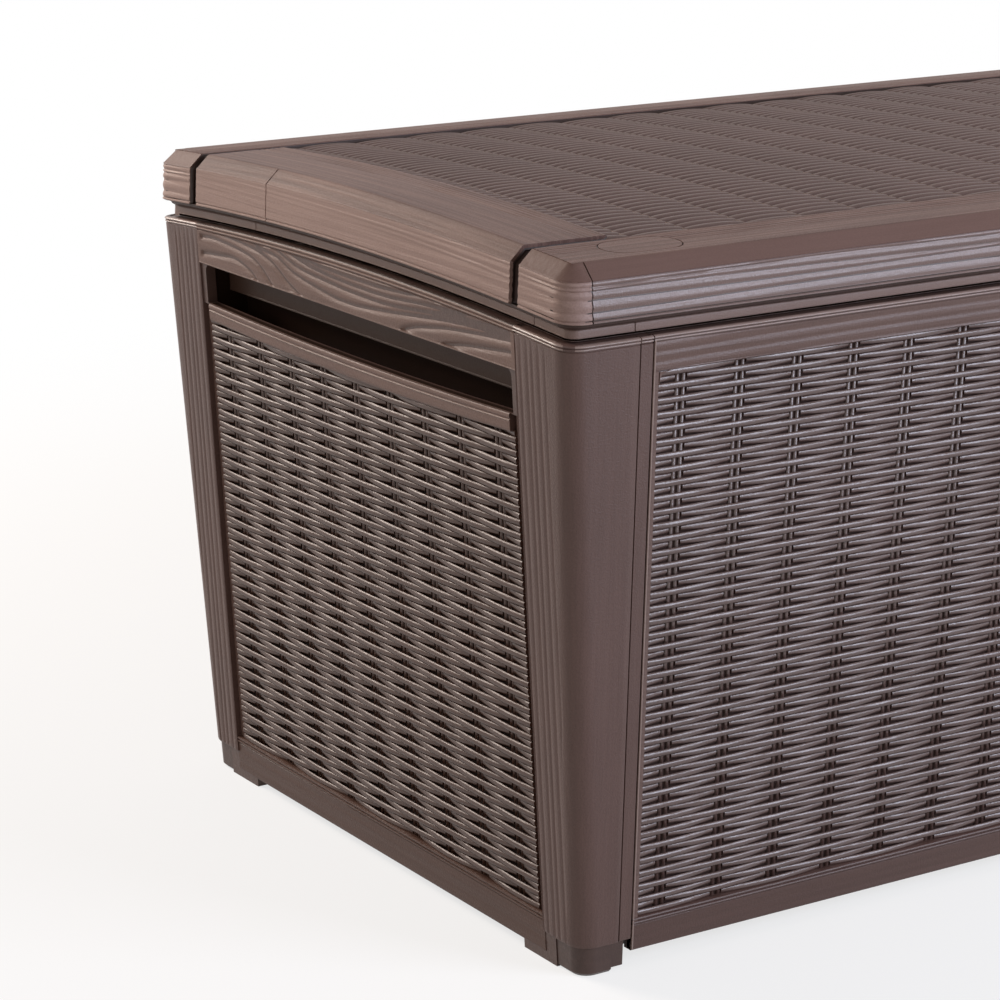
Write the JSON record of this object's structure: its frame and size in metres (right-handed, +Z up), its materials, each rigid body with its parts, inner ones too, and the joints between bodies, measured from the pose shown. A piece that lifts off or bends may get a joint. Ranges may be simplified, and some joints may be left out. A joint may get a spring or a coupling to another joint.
{
  "type": "deck storage box",
  "caption": "Lidded outdoor storage box with woven-look resin panels, corner posts, end handle slots and a crowned lid on rear hinges with telescopic stays.",
  "frame": {"origin": "on the floor, under the middle of the closed box", "axes": "+X along the box towards its right end, -Y towards its front, +Z up"},
  "size_m": [1.2998, 0.7, 0.625],
  "materials": {
    "moulded_resin": "satin moulded polypropylene with a faint wood grain",
    "woven_resin": "moulded rattan weave in satin polypropylene",
    "lid_resin": "satin polypropylene, top of the lid",
    "inner_resin": "plain moulded polypropylene inside",
    "foot_resin": "moulded polypropylene",
    "plug_resin": "satin moulded polypropylene",
    "hinge_steel": "powder coated steel",
    "bright_steel": "zinc plated steel",
    "stay_steel": "black enamelled steel tube"
  },
  "bodies": {
    "root": {"back_left_foot": "foot_resin", "back_left_post": "moulded_resin", "back_panel": "woven_resin", "back_right_foot": "foot_resin", "back_right_post": "moulded_resin", "back_woven_field": "woven_resin", "body_hinge_leaves": "hinge_steel", "body_hinge_screws": "bright_steel", "floor_panel": "inner_resin", "front_left_foot": "foot_resin", "front_left_post": "moulded_resin", "front_panel": "woven_resin", "front_right_foot": "foot_resin", "front_right_post": "moulded_resin", "front_woven_field": "woven_resin", "hinge_pins": "bright_steel", "left_handle_pocket": "inner_resin", "left_side_panel": "woven_resin", "left_stay_foot_bracket": "hinge_steel", "left_woven_field": "woven_resin", "panel_screws": "bright_steel", "right_handle_pocket": "inner_resin", "right_side_panel": "woven_resin", "right_stay_foot_bracket": "hinge_steel", "right_woven_field": "woven_resin", "stay_foot_screws": "bright_steel"},
    "lid": {"left_lid_beam": "lid_resin", "left_lid_plug": "plug_resin", "left_stay_head_bracket": "hinge_steel", "lid_back_beam": "lid_resin", "lid_back_left_cap": "lid_resin", "lid_back_right_cap": "lid_resin", "lid_deck": "lid_resin", "lid_front_beam": "lid_resin", "lid_front_left_cap": "lid_resin", "lid_front_right_cap": "lid_resin", "lid_hinge_leaves": "hinge_steel", "lid_hinge_screws": "bright_steel", "lid_liner": "inner_resin", "right_lid_beam": "lid_resin", "right_lid_plug": "plug_resin", "right_stay_head_bracket": "hinge_steel", "stay_head_screws": "bright_steel"},
    "left_stay_lower": {"left_stay_tube": "stay_steel"},
    "left_stay_upper": {"left_stay_rod": "bright_steel"},
    "right_stay_lower": {"right_stay_tube": "stay_steel"},
    "right_stay_upper": {"right_stay_rod": "bright_steel"}
  },
  "joints": [
    {"name": "lid_hinge", "type": "hinge", "parent": "root", "child": "lid", "pos_m": [0, 0.345, 0.558], "axis": [-1, 0, 0], "range_deg": [0, 80]},
    {"name": "left_stay_swing", "type": "hinge", "parent": "root", "child": "left_stay_lower", "pos_m": [-0.585, 0.303, 0.403], "axis": [-1, 0, 0], "range_deg": [0, 23.76]},
    {"name": "left_stay_slide", "type": "slide", "parent": "left_stay_lower", "child": "left_stay_upper", "axis": [0, -0.3433, 0.9392], "range_m": [0, 0.0931]},
    {"name": "right_stay_swing", "type": "hinge", "parent": "root", "child": "right_stay_lower", "pos_m": [0.585, 0.303, 0.403], "axis": [-1, 0, 0], "range_deg": [0, 23.76]},
    {"name": "right_stay_slide", "type": "slide", "parent": "right_stay_lower", "child": "right_stay_upper", "axis": [0, -0.3433, 0.9392], "range_m": [0, 0.0931]}
  ],
  "couplings": [
    {"joint": "left_stay_swing", "follows": "lid_hinge", "ratio": 0.29634},
    {"joint": "left_stay_slide", "follows": "lid_hinge", "m_per_rad": 0.066559},
    {"joint": "right_stay_swing", "follows": "lid_hinge", "ratio": 0.29634},
    {"joint": "right_stay_slide", "follows": "lid_hinge", "m_per_rad": 0.066559}
  ]
}
